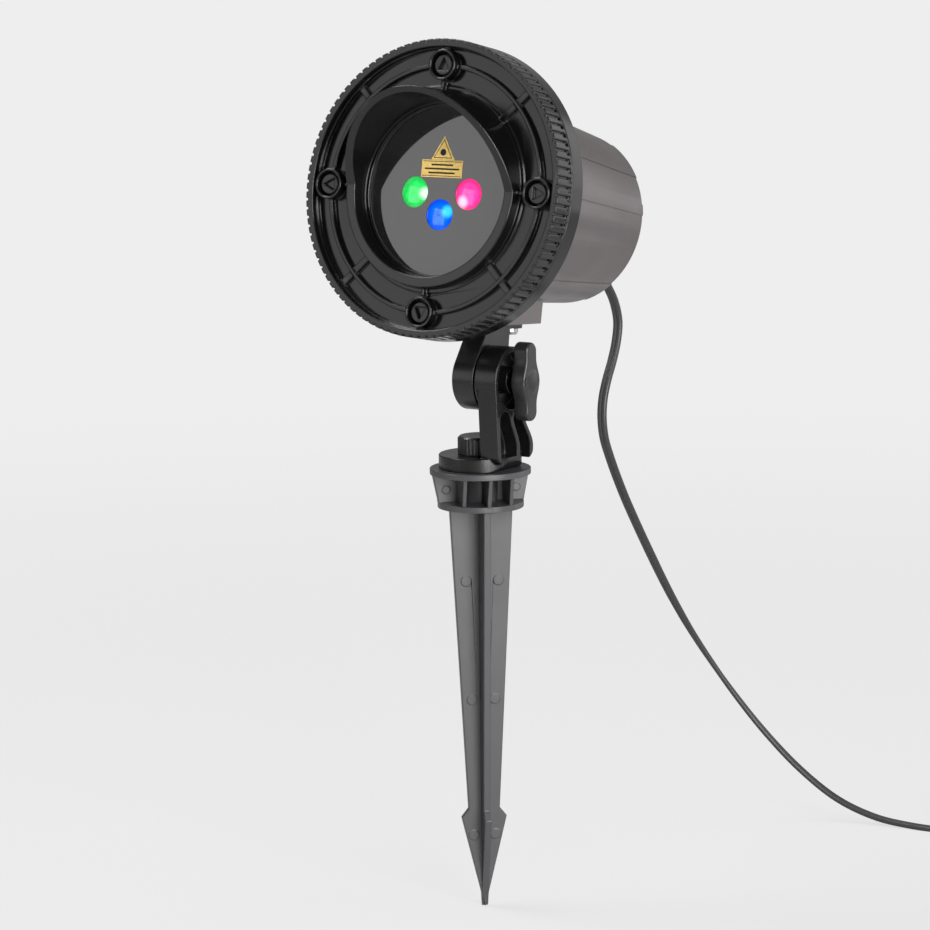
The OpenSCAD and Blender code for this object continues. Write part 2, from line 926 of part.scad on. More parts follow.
module lens(i) {
    dome_r = 24;
    front_z = window_z - 0.6;
    in_head()
        translate([lens_pos[i][0], lens_pos[i][1], 0])
            intersection() {
                translate([0, 0, front_z])
                    cylinder(r = lens_r, h = 3.6);
                translate([0, 0, front_z + dome_r])
                    sphere(r = dome_r);
            }
}

module lens_green() {
    color([0.2, 0.8, 0.35])
        lens(0);
}

module lens_blue() {
    color([0.05, 0.35, 1])
        lens(1);
}

module lens_red() {
    color([1, 0.25, 0.65])
        lens(2);
}

// ---------- Inside the head ----------

module laser_module(i) {
    front_z = window_z + 3;
    color([0.75, 0.6, 0.3])
        in_head()
            translate([lens_pos[i][0], lens_pos[i][1], front_z])
                union() {
                    cylinder(r = module_r - 1, h = mount_z - front_z);
                    translate([0, 0, mount_z - front_z])
                        cylinder(r = module_r, h = 20);
                    translate([0, 0, mount_z - front_z + 20])
                        cylinder(r = 2.4, h = 4);
                }
}

module laser_module_green() {
    laser_module(0);
}

module laser_module_blue() {
    laser_module(1);
}

module laser_module_red() {
    laser_module(2);
}

// Places its children at the three screws of the module mount
module mount_screw_places() {
    for (a = [30, 150, 270])
        rotate([0, 0, a])
            translate([mount_screw_r, 0, 0])
                children();
}

module module_mount() {
    color([0.78, 0.79, 0.8])
        in_head()
            difference() {
                translate([0, 0, mount_z])
                    cylinder(r = mount_r, h = mount_t);
                for (p = lens_pos)
                    translate([p[0], p[1], mount_z - 1])
                        cylinder(r = module_r, h = mount_t + 2);
                mount_screw_places()
                    translate([0, 0, mount_z - 1])
                        cylinder(r = 1.25, h = mount_t + 2);
                translate([-9, -30, mount_z - 1])
                    cube([18, 14, mount_t + 2]);
            }
}

module module_mount_screws() {
    color([0.7, 0.7, 0.72])
        in_head()
            mount_screw_places()
                translate([0, 0, mount_z])
                    pan_screw(1.25, mount_t + 2, 1.8, 1.6);
}

module driver_board() {
    color([0.08, 0.3, 0.16])
        in_head()
            difference() {
                translate([-20, board_y, board_z])
                    cube([40, 1.6, 56]);
                board_screw_places()
                    translate([0, 0, -3])
                        cylinder(r = 1.25, h = 5);
            }
}

// Places its children on the board's upper face, with +Z pointing down through it
module board_screw_places() {
    for (x = [-16, 16])
        translate([x, board_y, board_z + 28])
            rotate([-90, 0, 0])
                children();
}

module board_components() {
    color([0.12, 0.12, 0.13])
        in_head() {
            translate([-6, board_y - 9, board_z + 44])
                cube([12, 9, 12]);
            translate([-12, board_y - 5, board_z + 4])
                cube([9, 5, 9]);
            translate([4, board_y - 1.4, board_z + 8])
                cube([7, 1.4, 5]);
            for (x = [-8, 6])
                translate([x, board_y, board_z + 30])
                    rotate([90, 0, 0])
                        cylinder(r = 3.2, h = 11);
        }
}

module board_screws() {
    color([0.7, 0.7, 0.72])
        in_head()
            board_screw_places()
                pan_screw(1.25, 8, 2.3, 1.6);
}

module inner_lead() {
    color([0.1, 0.1, 0.1])
        in_head()
            translate([0, gland_y, board_z + 56])
                cylinder(r = 1.9, h = head_len - wall - 2 - board_z - 56);
}

module strain_relief() {
    color([0.1, 0.1, 0.1])
        in_head()
            translate([0, gland_y, 0])
                union() {
                    translate([0, 0, head_len - wall - 2])
                        cylinder(r = 5.6, h = 2);
                    translate([0, 0, head_len - wall])
                        cylinder(r = 4.2, h = wall);
                    translate([0, 0, head_len])
                        cylinder(r1 = gland_r, r2 = gland_tip_r, h = gland_len);
                }
}

// ---------- Cord ----------

// A point on the smooth curve through route, at s counted in route points
function curve_point(route, s) =
    let (
        n = len(route) - 1,
        i = min(floor(s), n - 1),
        t = s - i,
        p0 = route[max(i - 1, 0)],
        p1 = route[i],
        p2 = route[i + 1],
        p3 = route[min(i + 2, n)]
    )
    0.5 * (2 * p1 + (p2 - p0) * t + (2 * p0 - 5 * p1 + 4 * p2 - p3) * t * t
        + (3 * p1 - p0 - 3 * p2 + p3) * t * t * t);

function unit(v) = v / norm(v);

// A swept tube: sides points round each of the rings along the route
module swept_tube(route, r, rings, sides, first_dir, last_dir) {
    n = len(route) - 1;
    step = 0.01;
    function dir_at(s) = s <= 0 ? first_dir
        : s >= n ? last_dir
        : unit(curve_point(route, s + step) - curve_point(route, s - step));
    function frame_u(d) = unit(cross(d, [1, -1, 0]));
    function ring_points(s) =
        let (c = curve_point(route, s), d = dir_at(s), u = frame_u(d), v = cross(d, u))
        [for (k = [0 : sides - 1]) c + r * (u * cos(360 * k / sides) + v * sin(360 * k / sides))];
    points = [for (j = [0 : rings]) each ring_points(n * j / rings)];
    side_faces = [
        for (j = [0 : rings - 1])
            for (k = [0 : sides - 1])
                let (k2 = (k + 1) % sides, a = j * sides, b = a + sides)
                    each [[a + k, b + k, b + k2], [a + k, b + k2, a + k2]]
    ];
    first_cap = [for (k = [0 : sides - 1]) k];
    last_cap = [for (k = [sides - 1 : -1 : 0]) rings * sides + k];
    polyhedron(points = points, faces = concat([first_cap], side_faces, [last_cap]));
}

module cord_lead() {
    exit_dir = unit(cord_second - cord_exit);
    last = len(lead_route) - 1;
    color([0.12, 0.12, 0.12])
        swept_tube(
            lead_route, cord_r, 44, 10, exit_dir,
            unit(lead_route[last] - lead_route[last - 1])
        );
}

module cord_coil() {
    color([0.12, 0.12, 0.12])
        translate(coil_pos)
            difference() {
                rotate_extrude()
                    translate([coil_mid_r - coil_half_w, 0])
                        square([2 * coil_half_w, coil_top]);
                tie_band();
            }
}

// The band round the coil's bundle
module tie_band() {
    difference() {
        translate([-tie_w / 2, -coil_mid_r - coil_half_w - 1, 0])
            cube([tie_w, 2 * coil_half_w + 2, coil_top]);
        translate([-tie_w, -coil_mid_r - coil_half_w + tie_t, tie_t])
            cube([2 * tie_w, 2 * coil_half_w - 2 * tie_t, coil_top - 2 * tie_t]);
    }
}

module cord_tie() {
    color([0.05, 0.05, 0.05])
        translate(coil_pos)
            intersection() {
                tie_band();
                rotate_extrude()
                    translate([coil_mid_r - coil_half_w, 0])
                        square([2 * coil_half_w, coil_top]);
            }
}

module cord_tail() {
    last = len(tail_route) - 1;
    d = tail_route[last] - tail_route[last - 1];
    color([0.12, 0.12, 0.12])
        swept_tube(
            tail_route, cord_r, 8, 10, unit(tail_route[1] - tail_route[0]),
            unit([d[0], d[1], 0])
        );
}

// Places its children at the end of the tail, with +Z along the plug
module at_plug() {
    last = len(tail_route) - 1;
    d = tail_route[last] - tail_route[last - 1];
    translate(tail_route[last])
        rotate([0, 0, atan2(d[1], d[0])])
            rotate([0, 90, 0])
                children();
}

module plug_body() {
    color([0.1, 0.1, 0.1])
        at_plug()
            difference() {
                union() {
                    cylinder(r1 = 3, r2 = 4, h = 8);
                    translate([0, 0, 8])
                        cylinder(r = plug_r, h = plug_len - 8);
                }
                translate([0, 0, plug_len - 6])
                    cylinder(r = tip_root_r, h = 7);
            }
}

module plug_barrel() {
    color([0.8, 0.8, 0.8])
        at_plug()
            translate([0, 0, plug_len - 6])
                difference() {
                    union() {
                        cylinder(r = tip_root_r, h = 7);
                        translate([0, 0, 6.5])
                            cylinder(r = tip_r, h = tip_len - 0.5);
                    }
                    translate([0, 0, 6 + tip_len - 8])
                        cylinder(r = 1.05, h = 9);
                }
}

ground_stake();
stake_nut();
tilt_bracket();
pivot_washer();
thumb_screw();
thumb_screw_stud();
wing_knob();
wing_knob_stud();
head_lug();
lug_nut();
lug_screws();
rear_housing();
rear_collar();
housing_seal();
front_bezel();
bezel_screws();
screw_plugs();
window();
window_gasket();
window_retainer();
foil_sticker();
lens_green();
lens_blue();
lens_red();
laser_module_green();
laser_module_blue();
laser_module_red();
module_mount();
module_mount_screws();
driver_board();
board_components();
board_screws();
inner_lead();
strain_relief();
cord_lead();
cord_coil();
cord_tie();
cord_tail();
plug_body();
plug_barrel();
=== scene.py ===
"""Garden laser light projector on a ground stake: its looks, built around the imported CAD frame.

Metres, in the CAD frame: the origin is the tip of the stake, +Z is up, and the head faces -Y.
"""

import json
import math

import bmesh
import bpy
from mathutils import Matrix, Vector


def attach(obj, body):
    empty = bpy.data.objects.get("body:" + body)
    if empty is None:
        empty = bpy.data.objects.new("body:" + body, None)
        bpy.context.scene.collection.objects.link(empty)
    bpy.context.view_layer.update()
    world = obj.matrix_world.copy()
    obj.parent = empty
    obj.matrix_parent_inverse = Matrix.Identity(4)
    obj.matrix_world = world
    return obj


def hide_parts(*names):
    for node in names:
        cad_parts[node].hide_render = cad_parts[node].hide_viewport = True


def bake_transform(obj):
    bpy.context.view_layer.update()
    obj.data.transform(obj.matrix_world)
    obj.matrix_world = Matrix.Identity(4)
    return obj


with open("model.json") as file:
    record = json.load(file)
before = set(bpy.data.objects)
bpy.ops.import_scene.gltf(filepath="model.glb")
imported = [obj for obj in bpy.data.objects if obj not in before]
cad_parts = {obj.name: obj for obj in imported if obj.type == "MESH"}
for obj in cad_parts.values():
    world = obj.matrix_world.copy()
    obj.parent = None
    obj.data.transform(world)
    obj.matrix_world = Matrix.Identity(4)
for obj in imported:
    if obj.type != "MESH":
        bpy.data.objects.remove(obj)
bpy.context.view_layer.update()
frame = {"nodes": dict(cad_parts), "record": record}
NODES = frame["nodes"]
SCENE = bpy.context.scene

# ---------- Named places, in metres ----------

MM = 0.001
PIVOT = Vector((0, 0, 242.5)) * MM
HEAD_PITCH = math.radians(11.3)
FRONT_REACH = 54.3 * MM
AXIS_RISE = 78.3 * MM
WINDOW_FRONT = 9.6 * MM
HEAD_MIDDLE = Vector((0, 0, 0.32))
DRUM_BACK = 118 * MM
GLAND_DOWN = 20 * MM
GLAND_LENGTH = 20 * MM
CORD_WIDTH = 4.8 * MM
CORD_THICK = 2.6 * MM
PAPER_WHITE = 0.855


def head_point(x, down, back):
    """A point of the head's own frame, given in metres, in the CAD frame."""
    c, s = math.cos(HEAD_PITCH), math.sin(HEAD_PITCH)
    along, rise = back - FRONT_REACH, AXIS_RISE - down
    return Vector((x, along * c + rise * s, PIVOT.z - along * s + rise * c))


# ---------- Camera ----------


def make_camera():
    """The photograph's view: from the front left of the part, a little above it."""
    azimuth, elevation, roll = (math.radians(a) for a in (33.07, 9.5, -0.655))
    distance, side_shift, look_height = 1.6054, -0.00681, 0.2033
    back = Vector((
        math.sin(azimuth) * math.cos(elevation),
        -math.cos(azimuth) * math.cos(elevation),
        math.sin(elevation),
    ))
    level = Vector((math.cos(azimuth), math.sin(azimuth), 0))
    rise = back.cross(level)
    right = math.cos(roll) * level + math.sin(roll) * rise
    up = back.cross(right)
    target = level * side_shift + Vector((0, 0, look_height))
    data = bpy.data.cameras.new("camera")
    data.lens = 139.35
    data.sensor_width = 36
    data.clip_start = 0.05
    data.clip_end = 60
    camera = bpy.data.objects.new("camera", data)
    SCENE.collection.objects.link(camera)
    turn = Matrix((right, up, back)).transposed().to_4x4()
    camera.matrix_world = Matrix.Translation(target + back * distance) @ turn
    SCENE.camera = camera


# ---------- Mesh helpers ----------


def add_object(name, verts, faces, smooth=True):
    """A new mesh object in the scene, its faces turned outwards."""
    mesh = bpy.data.meshes.new(name)
    mesh.from_pydata([tuple(v) for v in verts], [], faces)
    mesh.validate()
    bm = bmesh.new()
    bm.from_mesh(mesh)
    bmesh.ops.recalc_face_normals(bm, faces=bm.faces)
    bm.to_mesh(mesh)
    bm.free()
    for polygon in mesh.polygons:
        polygon.use_smooth = smooth
    obj = bpy.data.objects.new(name, mesh)
    SCENE.collection.objects.link(obj)
    return obj


def sweep(name, centres, widths, section):
    """A section, as [across, up] pairs, swept along centres. widths are the across directions."""
    verts, faces = [], []
    last = len(centres) - 1
    for i, centre in enumerate(centres):
        ahead = (centres[min(i + 1, last)] - centres[max(i - 1, 0)]).normalized()
        across = (widths[i] - ahead * widths[i].dot(ahead)).normalized()
        up = ahead.cross(across)
        verts += [centre + across * a + up * b for a, b in section]
    n = len(section)
    for i in range(last):
        for k in range(n):
            k2 = (k + 1) % n
            faces.append((i * n + k, i * n + k2, (i + 1) * n + k2, (i + 1) * n + k))
    faces.append(tuple(range(n)))
    faces.append(tuple(last * n + k for k in reversed(range(n))))
    return add_object(name, verts, faces)


def lathe(name, profile, place, segments=64):
    """A solid of revolution: profile is [radius, height] pairs from axis to axis, place a matrix."""
    verts, faces = [], []
    rings = []
    for radius, height in profile:
        if radius < 1e-7:
            rings.append([len(verts)])
            verts.append(place @ Vector((0, 0, height)))
            continue
        rings.append(list(range(len(verts), len(verts) + segments)))
        for k in range(segments):
            a = 2 * math.pi * k / segments
            verts.append(place @ Vector((radius * math.cos(a), radius * math.sin(a), height)))
    for low, high in zip(rings, rings[1:]):
        for k in range(segments):
            k2 = (k + 1) % segments
            ring = [low[k % len(low)], low[k2 % len(low)], high[k2 % len(high)], high[k % len(high)]]
            faces.append(tuple(dict.fromkeys(ring)))
    return add_object(name, verts, [f for f in faces if len(f) > 2])


def smooth_route(route, step):
    """Points a step apart along the smooth curve through the route's points."""
    points = []
    last = len(route) - 1
    for i in range(last):
        p0, p1, p2, p3 = route[max(i - 1, 0)], route[i], route[i + 1], route[min(i + 2, last)]
        count = max(2, round((p2 - p1).length / step))
        for k in range(count):
            t = k / count
            points.append(0.5 * (
                2 * p1 + (p2 - p0) * t + (2 * p0 - 5 * p1 + 4 * p2 - p3) * t * t
                + (3 * p1 - p0 - 3 * p2 + p3) * t * t * t
            ))
    points.append(route[last])
    return points


# ---------- Materials ----------


class Nodes:
    """A material's node tree, with its Principled shader."""

    def __init__(self, name):
        self.material = bpy.data.materials.new(name)
        self.material.use_nodes = True
        self.tree = self.material.node_tree
        self.shader = self.tree.nodes["Principled BSDF"]
        self.coords = self.tree.nodes.new("ShaderNodeTexCoord").outputs["Object"]

    def link(self, a, b):
        self.tree.links.new(a, b)

    def feed(self, value, socket):
        """Links a value to one of the shader's own sockets."""
        self.link(value, self.shader.inputs[socket])

    def set(self, **values):
        for name, value in values.items():
            self.shader.inputs[name.replace("_", " ")].default_value = value

    def noise(self, scale, detail=3, roughness=0.5, stretch=(1, 1, 1)):
        mapping = self.tree.nodes.new("ShaderNodeMapping")
        mapping.inputs["Scale"].default_value = stretch
        self.link(self.coords, mapping.inputs["Vector"])
        node = self.tree.nodes.new("ShaderNodeTexNoise")
        node.inputs["Scale"].default_value = scale
        node.inputs["Detail"].default_value = detail
        node.inputs["Roughness"].default_value = roughness
        self.link(mapping.outputs["Vector"], node.inputs["Vector"])
        return node.outputs["Fac"]

    def spread(self, value, low, high, start=0.3, end=0.7):
        node = self.tree.nodes.new("ShaderNodeMapRange")
        node.inputs["From Min"].default_value = start
        node.inputs["From Max"].default_value = end
        node.inputs["To Min"].default_value = low
        node.inputs["To Max"].default_value = high
        self.link(value, node.inputs["Value"])
        return node.outputs["Result"]

    def mix(self, factor, a, b):
        node = self.tree.nodes.new("ShaderNodeMix")
        node.data_type = "RGBA"
        self.link(factor, node.inputs["Factor"])
        for socket, value in ((node.inputs["A"], a), (node.inputs["B"], b)):
            if isinstance(value, bpy.types.NodeSocket):
                self.link(value, socket)
            else:
                socket.default_value = (*value, 1)
        return node.outputs["Result"]

    def bump(self, height, strength, distance, base=None):
        node = self.tree.nodes.new("ShaderNodeBump")
        node.inputs["Strength"].default_value = strength
        node.inputs["Distance"].default_value = distance
        self.link(height, node.inputs["Height"])
        if base:
            self.link(base, node.inputs["Normal"])
        self.link(node.outputs["Normal"], self.shader.inputs["Normal"])
        return node.outputs["Normal"]


def scaled(color, factor):
    return tuple(min(1, c * factor) for c in color)


def moulded_plastic(name, color, rough, grain=900, grain_depth=0.00004, edge_wear_and_highlight=1.6, mottle=0.12, soft=0):
    """Mottled, finely grained plastic of uneven gloss. Its edges are paler, partly from wear and partly as a
    painted highlight, and rounded by soft metres.
    """
    m = Nodes(name)
    cloud = m.noise(28, 4)
    body = m.mix(m.spread(cloud, 0, 1), scaled(color, 1 - mottle), scaled(color, 1 + mottle))
    geometry = m.tree.nodes.new("ShaderNodeNewGeometry")
    # Paler convex edges: partly wear, partly a painted highlight standing in for light caught along the edges
    wear_and_highlight_mask = m.spread(geometry.outputs["Pointiness"], 0, 0.55, 0.52, 0.62)
    m.feed(m.mix(wear_and_highlight_mask, body, scaled(color, edge_wear_and_highlight)), "Base Color")
    m.feed(m.spread(m.noise(60, 5), rough * 0.88, rough * 1.14), "Roughness")
    rounded = None
    if soft:
        rounding = m.tree.nodes.new("ShaderNodeBevel")
        rounding.inputs["Radius"].default_value = soft
        rounded = rounding.outputs["Normal"]
    fine = m.bump(m.noise(grain, 2), 0.35, grain_depth, rounded)
    m.bump(m.noise(45, 2), 0.12, 0.0003, fine)
    return m.material


def metal(name, color, rough, brush=(1, 1, 1)):
    """Plated or turned metal with fine brushing and slight tarnish."""
    m = Nodes(name)
    stain = m.spread(m.noise(120, 4), 0, 1)
    m.feed(m.mix(stain, scaled(color, 0.82), color), "Base Color")
    m.feed(m.spread(m.noise(700, 3, stretch=brush), rough * 0.7, rough * 1.3), "Roughness")
    m.bump(m.noise(1500, 2, stretch=brush), 0.2, 0.00002)
    m.set(Metallic=1.0)
    return m.material


def rubber(name, color):
    """Dull, slightly dusty rubber."""
    m = Nodes(name)
    m.feed(m.mix(m.spread(m.noise(200, 4), 0, 1), color, scaled(color, 1.5)), "Base Color")
    m.feed(m.spread(m.noise(90, 3), 0.6, 0.8), "Roughness")
    m.bump(m.noise(1400, 2), 0.4, 0.00004)
    return m.material


def smoked_window(name):
    """Polished smoke-black acrylic: its grey is the room's reflection, with a little dust."""
    m = Nodes(name)
    dust = m.spread(m.noise(500, 5), 0, 1, 0.5, 0.8)
    m.feed(m.mix(dust, (0.011, 0.011, 0.012), (0.018, 0.018, 0.019)), "Base Color")
    m.feed(m.spread(m.noise(18, 3), 0.035, 0.06), "Roughness")
    m.set(IOR=1.9)
    return m.material


def painted_glow_lens(name, centre, body, deep, painted_highlight_colour, painted_highlight_place):
    """A clear dome over a laser, glowing by emission as painted light: its colour runs from body at the
    middle to deep towards its rim, with a painted highlight spot to one side.
    """
    m = Nodes(name)
    spot = centre + head_point(painted_highlight_place[0], -painted_highlight_place[1], 0) - head_point(0, 0, 0)

    def nearness(place, inner, outer):
        offset = m.tree.nodes.new("ShaderNodeVectorMath")
        offset.operation = "DISTANCE"
        offset.inputs[1].default_value = place
        m.link(m.coords, offset.inputs[0])
        node = m.tree.nodes.new("ShaderNodeMapRange")
        node.interpolation_type = "SMOOTHSTEP"
        node.inputs["From Min"].default_value = outer
        node.inputs["From Max"].default_value = inner
        m.link(offset.outputs["Value"], node.inputs["Value"])
        return node.outputs["Result"]

    streaks = m.spread(m.noise(420, 4, 0.7), 0, 1, 0.35, 0.7)
    depth = m.mix(nearness(centre, 0.0035, 0.0068), deep, body)
    glow = m.mix(streaks, depth, scaled(body, 0.55))
    # Painted highlight: a pale spot to one side that stands in for a reflection on the dome
    light = m.mix(nearness(spot, 0.0010, 0.0038), glow, painted_highlight_colour)
    # Painted glow: the emission lights the dome although no lamp is there
    m.feed(light, "Emission Color")
    m.feed(glow, "Base Color")
    m.feed(m.spread(m.noise(60, 2), 0.05, 0.12), "Roughness")
    m.set(Emission_Strength=1.0, Coat_Weight=0.6, Coat_Roughness=0.04)
    return m.material


def board_material(name):
    """A green circuit board with faint tracks."""
    m = Nodes(name)
    tracks = m.spread(m.noise(260, 1, stretch=(1, 6, 1)), 0, 1, 0.49, 0.51)
    m.feed(m.mix(tracks, (0.02, 0.16, 0.06), (0.03, 0.24, 0.09)), "Base Color")
    m.set(Roughness=0.3)
    return m.material


def gold_foil(name):
    """Satin gold foil with a fine speckle."""
    m = Nodes(name)
    tone = m.mix(m.spread(m.noise(900, 3), 0, 1), (0.75, 0.50, 0.13), (0.95, 0.68, 0.21))
    m.feed(tone, "Base Color")
    m.feed(m.spread(m.noise(400, 3), 0.35, 0.5), "Roughness")
    m.set(Metallic=0.05)
    return m.material


def cad_materials():
    """One material for each of the record's slots."""
    green_at, blue_at, red_at = (
        head_point(x * MM, down * MM, WINDOW_FRONT) for x, down in ((-13.9, 1.1), (0, 10.5), (13.9, 1.1))
    )
    return {
        "stake_plastic": moulded_plastic(
            "grey_stake_plastic", (0.05, 0.048, 0.051), 0.4, mottle=0.07, edge_wear_and_highlight=1.7, soft=0.4 * MM,
        ),
        # The black plastics below have large edge factors, so their paler edges are mostly painted highlight
        "bracket_plastic": moulded_plastic(
            "black_bracket_plastic", (0.0045, 0.0045, 0.005), 0.28, edge_wear_and_highlight=6, soft=0.6 * MM,
        ),
        "knob_plastic": moulded_plastic(
            "black_knob_plastic", (0.012, 0.012, 0.0125), 0.33, edge_wear_and_highlight=3, soft=0.6 * MM,
        ),
        "zinc_steel": metal("zinc_screws", (0.6, 0.6, 0.6), 0.32),
        "housing_plastic": moulded_plastic(
            "warm_grey_housing", (0.068, 0.059, 0.060), 0.34, mottle=0.05, edge_wear_and_highlight=1.5,
        ),
        "seal_rubber": rubber("seal_rubber", (0.012, 0.012, 0.012)),
        "bezel_plastic": moulded_plastic(
            "black_bezel_plastic", (0.0028, 0.0028, 0.003), 0.17, grain_depth=0.00002, edge_wear_and_highlight=12, soft=0.9 * MM,
        ),
        "window_acrylic": smoked_window("smoked_window"),
        "gold_foil": gold_foil("gold_foil"),
        # Each lens's last two values are its painted highlight's colour and its place
        "green_lens": painted_glow_lens(
            "green_lens", green_at, (0.02, 0.62, 0.1), (0.01, 0.34, 0.05), (0.9, 1.0, 0.9), (0.0054, -0.0004),
        ),
        "blue_lens": painted_glow_lens(
            "blue_lens", blue_at, (0.0, 0.12, 1.0), (0.0, 0.03, 0.6), (0.06, 0.75, 1.0), (0.0040, 0.0016),
        ),
        "red_lens": painted_glow_lens(
            "red_lens", red_at, (1.0, 0.05, 0.35), (0.8, 0.01, 0.12), (1.0, 0.72, 0.82), (-0.0026, -0.0034),
        ),
        "module_brass": metal("laser_module_brass", (0.7, 0.5, 0.22), 0.28, (1, 1, 8)),
        "mount_aluminium": metal("mount_aluminium", (0.8, 0.8, 0.82), 0.35, (1, 6, 1)),
        "board_laminate": board_material("circuit_board"),
        "component_plastic": moulded_plastic("component_plastic", (0.02, 0.02, 0.02), 0.4),
        "cord_pvc": moulded_plastic(
            "cord_pvc", (0.026, 0.0255, 0.027), 0.42, grain=1500, mottle=0.1, edge_wear_and_highlight=1.2,
        ),
        "plug_metal": metal("plug_nickel", (0.75, 0.74, 0.72), 0.18, (1, 1, 6)),
    }


# ---------- Cord ----------

LEAD_ROUTE = [
    (0, 107, 276), (0, 113, 270), (0, 118, 263), (0, 121, 254),
    (0, 119.5, 245), (0, 115.5, 236), (0, 110.5, 227.5), (0, 107, 219), (0, 106, 210),
    (0, 108, 200), (0, 113.5, 189.5), (0, 120, 179), (0, 127.5, 168), (0, 138, 154),
    (0, 149, 140), (0.5, 160, 125.5), (2, 169.5, 112), (6, 179, 96), (13, 187.5, 79),
    (23, 195, 61), (36, 201.5, 43), (52, 207, 26), (70, 211.5, 12.5), (89, 215, 5),
    (108, 217, 2.6), (127, 218.4, 2.4),
]
TAIL_ROUTE = [(187, 241.5, 9.8), (190, 247.5, 8), (192.2, 254, 5.7), (193.4, 260, 4.9)]
# The lead starts at the strain relief's tip and runs straight on along it for 8 mm.
GLAND_TIP = head_point(0, GLAND_DOWN, DRUM_BACK + GLAND_LENGTH)
GLAND_AHEAD = head_point(0, GLAND_DOWN, DRUM_BACK + GLAND_LENGTH + 8 * MM)
ROUTE_STEP = 2.2 * MM
COIL_CENTRE = Vector((154, 253, 0)) * MM
COIL_MIDDLE = 27 * MM
COIL_TURNS = 15
COIL_COLUMNS = 4
COIL_ROWS = 4
COIL_FLOOR = 2.1 * MM
COIL_ROW = 2.95 * MM
SLIP_START = 0.82
COIL_START = math.radians(257)
COIL_END = math.radians(330)


def coil_places():
    """Radius and height of each turn: rows run inwards and outwards in turn, from the floor up."""
    places = []
    for row in range(COIL_ROWS):
        columns = range(COIL_COLUMNS) if row % 2 else range(COIL_COLUMNS - 1, -1, -1)
        for column in columns:
            radius = COIL_MIDDLE + (column - (COIL_COLUMNS - 1) / 2) * CORD_WIDTH
            places.append((radius, COIL_FLOOR + row * COIL_ROW))
    # The top row is one turn short, at its inner side
    del places[(COIL_ROWS - 1) * COIL_COLUMNS]
    return places


def coil_points():
    """The coil's own points: each turn holds its place and slips to the next near its end."""
    places = coil_places()
    steps = 36
    points = []
    total = COIL_TURNS - 1 + (COIL_END - COIL_START) / (2 * math.pi)
    count = round(total * steps)
    for i in range(count + 1):
        turn = total * i / count
        k = min(int(turn), COIL_TURNS - 1)
        slip = max(0, (turn - k - SLIP_START) / (1 - SLIP_START))
        slip = slip * slip * (3 - 2 * slip)
        here, there = places[k], places[min(k + 1, COIL_TURNS - 1)]
        radius = here[0] + (there[0] - here[0]) * slip
        height = here[1] + (there[1] - here[1]) * slip
        angle = COIL_START + 2 * math.pi * turn
        points.append(COIL_CENTRE + Vector((radius * math.cos(angle), radius * math.sin(angle), height)))
    return points


def twin_section():
    """The flat twin lead: two round cores side by side, with a groove between them."""
    half = CORD_THICK / 2
    offset = CORD_WIDTH / 2 - half
    arc = [math.radians(a) for a in range(-140, 141, 20)]
    right = [(offset + half * math.cos(a), half * math.sin(a)) for a in arc]
    left = [(-x, -y) for x, y in right]
    return right + left


def cord_widths(points):
    """The direction across the flat lead: level, and across its way over the floor."""
    widths = []
    heading = Vector((0, 1, 0))
    for i, point in enumerate(points):
        ahead = points[min(i + 1, len(points) - 1)] - points[max(i - 1, 0)]
        flat = Vector((ahead.x, ahead.y, 0))
        # Behind the head the lead hangs in one plane, and its flat side faces back
        if point.x > 0.2 * MM and flat.length > 1e-6:
            heading = flat.normalized()
        widths.append(Vector((-heading.y, heading.x, 0)))
    return widths


def laid_flat(point):
    """Lowers a point of the lead near the floor, because the flat lead is thinner than it is wide."""
    drop = (CORD_WIDTH - CORD_THICK) / 2
    nearness = 1.04 - point.z / (60 * MM)
    return point - Vector((0, 0, drop * max(0, min(1, nearness))))


def make_cord():
    """The whole lead, from the strain relief to the plug, with its route and its length."""
    lead = [GLAND_TIP, GLAND_AHEAD] + [laid_flat(Vector(p) * MM) for p in LEAD_ROUTE]
    tail = [Vector(p) * MM for p in TAIL_ROUTE]
    route = lead + coil_points() + tail
    points = smooth_route(route, ROUTE_STEP)
    cord = sweep("twin_lead", points, cord_widths(points), twin_section())
    length = sum((b - a).length for a, b in zip(points, points[1:]))
    return cord, points, length


# ---------- Small pieces with their own shapes ----------


def along_matrix(origin, ahead):
    """A frame at origin whose Z runs ahead."""
    return Matrix.Translation(origin) @ ahead.to_track_quat("Z", "X").to_matrix().to_4x4()


def make_strain_relief():
    """The ribbed, tapered sleeve where the lead leaves the housing."""
    inside, neck, flange, ribs = 4.4 * MM, 4.2 * MM, 5.6 * MM, 6
    base, wall, tip = DRUM_BACK - inside, DRUM_BACK - 2.4 * MM, DRUM_BACK + GLAND_LENGTH
    pitch = (GLAND_LENGTH - 3 * MM) / ribs
    profile = [(0, base), (flange, base), (flange, wall), (neck, wall)]
    profile += [(neck, DRUM_BACK), (flange, DRUM_BACK), (flange, DRUM_BACK + 1.4 * MM)]
    for i in range(ribs):
        start = DRUM_BACK + 2.2 * MM + pitch * i
        outer = (5.0 - 1.5 * (start - DRUM_BACK) / GLAND_LENGTH) * MM
        inner = outer - 0.7 * MM
        profile += [(inner, start), (outer, start + 0.25 * pitch)]
        profile += [(outer, start + 0.68 * pitch), (inner, start + 0.86 * pitch)]
    profile += [(3.2 * MM, tip - 0.4 * MM), (2.9 * MM, tip), (0, tip)]
    origin = head_point(0, GLAND_DOWN, 0)
    ahead = (head_point(0, GLAND_DOWN, 1) - origin).normalized()
    return lathe("strain_relief_sleeve", profile, along_matrix(origin, ahead))


